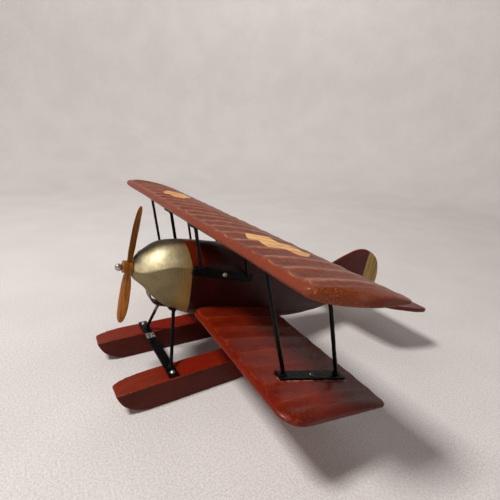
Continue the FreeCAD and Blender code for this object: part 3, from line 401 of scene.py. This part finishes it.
def cowl_metal():
    """Brushed champagne-coloured sheet with painted shade, olive-dark, below its crease, tarnished at its
    rear edge, and with a painted dark reflection along its top.
    """
    s = Shader("cowl_metal")
    place = s.airframe()
    x, y, z = s.parts(place)
    brushed = s.noise(s.stretch(place, (0.12, 4.0, 0.12)), 1.0, 4.0, 0.6)
    scratch = s.noise(s.stretch(place, (2.4, 0.25, 2.4)), 1.0, 5.0, 0.7, 0.6)
    clouds = s.noise(place, 0.09, 5.0, 0.6)
    colour = s.mix(s.between(clouds, 0.35, 0.7), tint(206, 194, 160), tint(180, 164, 124))
    # painted shade: the downward-facing lower part of the cowl, below the crease, is painted olive-dark
    crease = s.math("SUBTRACT", s.math("MULTIPLY", s.between(y, 4.0, 34.0), 11.5), 0.6)
    below = s.between(s.math("SUBTRACT", z, crease), 0.8, -0.8)
    colour = s.mix(s.math("MULTIPLY", below, 0.8), colour, tint(112, 98, 66))
    colour = s.mix(s.between(y, 32.0, 47.0, 0.0, 0.8), colour, tint(166, 130, 66))
    stain = s.between(s.noise(place, 0.35, 5.0, 0.7), 0.58, 0.72)
    colour = s.mix(s.math("MULTIPLY", stain, 0.4), colour, tint(120, 104, 72))
    # painted reflection: a dark strip along the top of the cowl, near its outline
    dark_top_reflection = s.between(s.math("ADD", s.math("ABSOLUTE", x), wander(s, place, 0.1, 4.0)), 15.0, 5.0)
    dark_top_reflection = s.math("MULTIPLY", dark_top_reflection, s.between(z, 2.0, 8.0))
    colour = s.mix(s.math("MULTIPLY", dark_top_reflection, 0.85), colour, tint(62, 52, 40))
    colour = s.tone(colour, s.between(brushed, 0.3, 0.7, 0.8, 1.12))
    colour = s.tone(colour, s.between(scratch, 0.3, 0.7, 0.9, 1.08))
    gloss = s.between(brushed, 0.25, 0.75, 0.5, 0.62)
    gloss = s.math("ADD", gloss, s.math("MULTIPLY", stain, 0.12))
    normal = s.bump(brushed, 0.03, 0.5, s.bump(scratch, 0.03, 0.4))
    normal = s.bump(s.noise(place, 0.16, 2.0), 0.5, 0.4, normal)
    s.set(Base_Color=colour, Metallic=0.9, Roughness=gloss, Normal=normal)
    return s.material


def bare_metal(name, bright, dull, gloss, tarnish=0.4):
    """Turned or stamped metal with fine wear and a little tarnish."""
    s = Shader(name)
    place = s.level()
    wear = s.noise(place, 1.4, 5.0, 0.65)
    fine = s.noise(place, 6.0, 3.0, 0.6)
    colour = s.mix(s.between(wear, 0.4, 0.7, 0.0, tarnish), bright, dull)
    rough = s.between(fine, 0.3, 0.7, gloss - 0.08, gloss + 0.12)
    normal = s.bump(fine, 0.02, 0.5, s.bump(wear, 0.06, 0.4))
    s.set(Base_Color=colour, Metallic=1.0, Roughness=rough, Normal=normal)
    return s.material


def black_paint():
    """Thick gloss black paint brushed over steel, with a painted reflection in one place on the front bar."""
    s = Shader("black_paint")
    place = s.level()
    x, _, z = s.parts(place)
    lumps = s.noise(place, 0.55, 4.0, 0.6)
    fine = s.noise(place, 3.0, 4.0, 0.65)
    dust = s.between(s.noise(place, 0.3, 5.0, 0.65), 0.5, 0.75)
    colour = s.mix(s.math("MULTIPLY", dust, 0.15), tint(3, 4, 5), tint(22, 22, 22))
    chip = s.between(s.noise(place, 0.9, 6.0, 0.75), 0.71, 0.75)
    colour = s.mix(s.math("MULTIPLY", chip, 0.6), colour, tint(96, 84, 70))
    # painted reflection: a pale patch on the top of the front bar
    reflection_x = -20.5
    along_bar = s.math("ABSOLUTE", s.math("SUBTRACT", x, reflection_x))
    below_top = s.math("SUBTRACT", FRONT_BAR_TOP, z)
    worn = s.math("MULTIPLY", s.between(along_bar, 6.0, 3.5), s.between(below_top, 1.0, 0.4))
    worn = s.math("MULTIPLY", worn, s.between(lumps, 0.4, 0.56))
    colour = s.mix(s.math("MULTIPLY", worn, 0.7), colour, tint(150, 142, 134))
    gloss = s.between(fine, 0.3, 0.7, 0.26, 0.44)
    normal = s.bump(fine, 0.05, 0.5, s.bump(lumps, 0.25, 0.4))
    s.set(Base_Color=colour, Roughness=gloss, Normal=normal, Coat_Weight=0.04, Coat_Roughness=0.1,
          Specular_IOR_Level=0.09)
    return s.material


def floor_board():
    """Pale matt tabletop with a fine mottle."""
    s = Shader("floor_board")
    place = s.level()
    mottle = s.noise(place, 0.6, 6.0, 0.8)
    broad = s.noise(place, 0.01, 3.0, 0.5)
    colour = s.mix(s.between(mottle, 0.3, 0.7), tint(196, 189, 187), tint(236, 230, 227))
    colour = s.tone(colour, s.between(broad, 0.3, 0.7, 0.97, 1.03))
    s.set(Base_Color=colour, Roughness=0.75, Normal=s.bump(mottle, 0.25, 0.5), Specular_IOR_Level=0.3)
    return s.material


# ---------------------------------------------------------------- finishes on the CAD nodes
# Lengths are in millimetres. "foot" is the strut plate's centre, half sizes and turn.
UPPER_LOOK = {
    "front": 33.0,
    "half_span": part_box("upper_wing")[1][0] * MM,
    "rake": 9.0,
    "deep": tint(112, 49, 31),
    "worn": tint(126, 61, 41),
    "streak": tint(130, 54, 28),
    "rear": tint(112, 56, 40),
    "fade": (30.0, 64.0, 0.5),
    # rib crest colour and share: painted highlight with some rubbed wear; shade colour and hollow share:
    # painted shade in the hollows
    "rib": tint(180, 120, 94),
    "crest_highlight_and_wear": 0.66,
    "shade": tint(84, 26, 14),
    "hollow": 0.8,
    "band": tint(122, 48, 24),
    "rim": 0.85,
    "tip": tint(112, 44, 10),
    # line colour and share: a painted highlight line behind the leading edge
    "line": tint(196, 122, 76),
    "line_start": 2.6,
    "scallop": 4.5,
    "line_highlight": 0.6,
    "fleck": tint(214, 150, 84),
    "chips": 0.5,
    "gloss": 0.34,
    "coat": 0.08,
}
LOWER_LOOK = {
    "front": 56.0,
    "half_span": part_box("lower_wing_port")[1][0] * MM,
    "rake": 3.0,
    "deep": tint(96, 20, 4),
    "worn": tint(112, 27, 6),
    "streak": tint(130, 42, 9),
    # painted shadow: the upper wing's shadow over the rear part of the lower wing
    "rear": tint(60, 16, 8),
    "fade": (34.0, 78.0, 0.65),
    # rib crest colour and share: painted highlight with some rubbed wear; shade colour and hollow share:
    # painted shade in the hollows
    "rib": tint(142, 58, 34),
    "crest_highlight_and_wear": 0.28,
    "shade": tint(78, 16, 5),
    "hollow": 0.4,
    "band": tint(108, 22, 5),
    "rim": 0.5,
    "tip": tint(88, 16, 5),
    # line colour and share: a painted highlight line behind the leading edge
    "line": tint(180, 92, 62),
    "line_start": 3.4,
    "scallop": 2.0,
    "line_highlight": 0.22,
    "fleck": tint(190, 128, 92),
    "chips": 0.5,
    "gloss": 0.26,
    "coat": 0.08,
    "foot": (140.0, 104.6, 5.2, 29.25, math.radians(7.0)),
}
upper_finish = carved_wing("upper_wing_lacquer", UPPER_LOOK)
lower_finish = carved_wing("lower_wing_lacquer", LOWER_LOOK)
body_finish = body_lacquer("body_lacquer", tint(38, 6, 3), tint(58, 11, 6), tint(86, 22, 4))
tail_finish = body_lacquer("tail_lacquer", tint(82, 20, 12), tint(98, 28, 17))
inlay_finish = inlay_wood()
float_finish = float_lacquer()
steel = bare_metal("screw_steel", tint(188, 186, 180), tint(120, 112, 100), 0.3)

FINISHES = {
    "upper_wing": upper_finish,
    "lower_wing_port": lower_finish,
    "lower_wing_starboard": lower_finish,
    "wing_inlay_port": inlay_finish,
    "wing_inlay_starboard": inlay_finish,
    "fuselage": body_finish,
    "tail_fin": tail_finish,
    "tailplane": tail_finish,
    "rudder": rudder_wood(),
    "nose_cowl": cowl_metal(),
    "chin_scoop": bare_metal("aged_metal", tint(104, 84, 64), tint(56, 40, 28), 0.42, 0.9),
    "propeller": propeller_wood(),
    "propeller_pin": bare_metal("pin_steel", tint(176, 172, 166), tint(110, 100, 90), 0.18, 0.3),
    "propeller_washer": bare_metal("washer_brass", tint(190, 160, 100), tint(120, 90, 50), 0.35),
    "fin_dowels": dowel_wood("dowel_wood", "z"),
    "lower_wing_dowels": dowel_wood("wing_dowel_wood", "x"),
    "float_port": float_finish,
    "float_starboard": float_finish,
    "interplane_foot_screws": bare_metal("screw_bronze", tint(120, 108, 76), tint(40, 36, 30), 0.34, 0.9),
    "interplane_head_screws": steel,
    "cabane_side_screws": bare_metal("screw_brass", tint(190, 176, 136), tint(128, 108, 72), 0.34),
    "cabane_head_screws": steel,
    "float_deck_screws": steel,
    "belly_screws": steel,
}
PAINTED = ("interplane_frame_port", "interplane_frame_starboard", "cabane_frame_port",
           "cabane_frame_starboard", "front_float_frame", "rear_float_frame")
paint = black_paint()
for name in PAINTED:
    FINISHES[name] = paint

for name, piece in frame["nodes"].items():
    piece.data.materials.clear()
    piece.data.materials.append(FINISHES[name])


# ---------------------------------------------------------------- handwork on the CAD nodes' surfaces
def soften(name, voxel_mm, rounds):
    """Rounds a node's hard edges: it is remeshed finely, then its points are eased."""
    piece = frame["nodes"][name]
    remesh = piece.modifiers.new("soften", "REMESH")
    remesh.mode = "VOXEL"
    remesh.voxel_size = voxel_mm / MM
    remesh.use_smooth_shade = True
    ease = piece.modifiers.new("ease", "SMOOTH")
    ease.factor = 0.5
    ease.iterations = rounds


def handwork(name, depth_mm, size_mm, direction="NORMAL"):
    """Makes a node's surface slightly uneven, as carved, bent or brushed by hand."""
    texture = bpy.data.textures.new("handwork_%s_%g" % (name, size_mm), "CLOUDS")
    texture.noise_scale = size_mm / MM
    texture.noise_depth = 1
    uneven = frame["nodes"][name].modifiers.new("handwork", "DISPLACE")
    uneven.texture = texture
    uneven.texture_coords = "LOCAL"
    uneven.direction = direction
    uneven.mid_level = 0.5
    uneven.strength = depth_mm / MM


for name in PAINTED:
    soften(name, 0.45, 3)
    handwork(name, 0.45, 3.5)
for name in ("float_port", "float_starboard"):
    soften(name, 0.8, 3)
    handwork(name, 0.6, 30.0)
for name in ("upper_wing", "wing_inlay_port", "wing_inlay_starboard"):
    handwork(name, 0.9, 26.0, "Z")
for name in ("lower_wing_port", "lower_wing_starboard"):
    handwork(name, 0.7, 24.0, "Z")
for name in ("fuselage", "nose_cowl"):
    handwork(name, 0.6, 18.0)
for name in ("tail_fin", "rudder", "tailplane"):
    handwork(name, 0.5, 20.0)
handwork("propeller", 0.4, 9.0)


# ---------------------------------------------------------------- floor, lights and camera
def sweep():
    """A round floor whose rim curves up into a pale wall, so every view has the same plain ground."""
    flat = 1.1
    bend = 0.45
    wall_top = 1.3
    bend_steps = 12
    around = 96
    profile = [(0.0, 0.0), (0.6, 0.0), (flat, 0.0)]
    for step in range(1, bend_steps + 1):
        angle = math.radians(90 * step / bend_steps)
        profile.append((flat + bend * math.sin(angle), bend - bend * math.cos(angle)))
    profile.append((flat + bend, wall_top))
    points = []
    faces = []
    for radius, height in profile:
        for step in range(around):
            angle = 2 * math.pi * step / around
            points.append((radius * math.cos(angle), radius * math.sin(angle), height))
    for ring in range(len(profile) - 1):
        for step in range(around):
            following = (step + 1) % around
            faces.append((ring * around + step, ring * around + following,
                          (ring + 1) * around + following, (ring + 1) * around + step))
    mesh = bpy.data.meshes.new("floor")
    mesh.from_pydata(points, [], faces)
    mesh.materials.append(floor_board())
    for face in mesh.polygons:
        face.use_smooth = True
    floor = bpy.data.objects.new("floor", mesh)
    bpy.context.scene.collection.objects.link(floor)


def area_light(name, place, target, size, watts, colour):
    data = bpy.data.lights.new(name, "AREA")
    data.shape = "RECTANGLE"
    data.size, data.size_y = size
    data.energy = watts
    data.color = colour
    lamp = bpy.data.objects.new(name, data)
    lamp.location = place
    lamp.rotation_euler = (Vector(target) - Vector(place)).to_track_quat("-Z", "Y").to_euler()
    bpy.context.scene.collection.objects.link(lamp)


def studio():
    """A small key light high ahead of the nose, a weak ceiling, light on the wall behind and dim pale air."""
    area_light("key", (0.05, -0.88, 1.50), (0, 0, 0.05), (0.32, 0.32), 24, (1.0, 0.985, 0.955))
    area_light("ceiling", (-0.5, 0.2, 1.6), (0, 0, 0), (1.2, 1.2), 1.2, (0.97, 0.99, 1.0))
    area_light("far_wall", (-0.7, 0.5, 1.3), (-1.5, 0.75, 0.5), (0.8, 0.8), 3.5, (0.95, 1.0, 0.97))
    world = bpy.data.worlds.new("studio")
    bpy.context.scene.world = world
    world.use_nodes = True
    background = world.node_tree.nodes["Background"]
    background.inputs["Color"].default_value = (0.93, 0.96, 1.0, 1)
    background.inputs["Strength"].default_value = 0.11


def camera():
    """Ahead of the port wings and a little above, close and wide, with a slight roll."""
    azimuth, elevation, roll = math.radians(58.3), math.radians(18.1), math.radians(3.4)
    back = Vector((math.sin(azimuth) * math.cos(elevation), -math.cos(azimuth) * math.cos(elevation),
                   math.sin(elevation)))
    right = (-back).cross(Vector((0, 0, 1))).normalized()
    up = right.cross(-back)
    rolled_right = right * math.cos(roll) + up * math.sin(roll)
    rolled_up = up * math.cos(roll) - right * math.sin(roll)
    data = bpy.data.cameras.new("camera")
    data.sensor_width = 36.0
    data.lens = 26.22
    data.clip_start = 0.01
    seen_from = bpy.data.objects.new("camera", data)
    place = HUB + Vector((0.3077, -0.0662, 0.119))
    turn = Matrix((rolled_right, rolled_up, back)).transposed().to_4x4()
    seen_from.matrix_world = Matrix.Translation(place) @ turn
    bpy.context.scene.collection.objects.link(seen_from)
    bpy.context.scene.camera = seen_from


sweep()
studio()
camera()
bpy.context.scene.view_settings.view_transform = "Standard"
bpy.context.scene.view_settings.look = "None"
